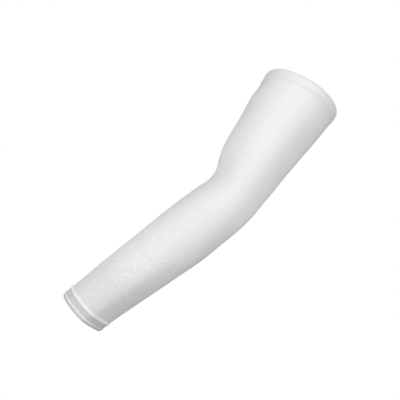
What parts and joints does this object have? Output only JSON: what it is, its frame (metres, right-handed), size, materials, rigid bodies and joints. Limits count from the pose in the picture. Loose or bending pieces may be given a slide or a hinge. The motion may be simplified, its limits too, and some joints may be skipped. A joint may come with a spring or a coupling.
{
  "type": "arm compression sleeve",
  "caption": "Knit arm compression sleeve in its worn form: a tapered tube bent a little at the elbow, with a welted, turned-in cuff at the wrist and a wide hemmed opening at the upper arm.",
  "frame": {"origin": "middle of the elbow bend, on the sleeve's centreline, inside the hollow, where the arm holds the sleeve", "axes": "+Z along the upper arm towards the shoulder; +X towards the point of the elbow, away from the crook; the forearm leans towards -X and a little towards +Y"},
  "size_m": [0.1541, 0.1287, 0.417],
  "materials": {
    "sleeve_tube": "white stretch knit, smooth on the upper arm and finely mottled on the forearm",
    "wrist_welt": "white knit rib, slightly brighter than the cloth",
    "wrist_cuff": "white double knit band, turned in at the opening",
    "upper_hem": "white folded knit hem"
  },
  "bodies": {
    "root": {"sleeve_tube": "sleeve_tube", "wrist_welt": "wrist_welt", "wrist_cuff": "wrist_cuff", "upper_hem": "upper_hem"}
  },
  "joints": []
}
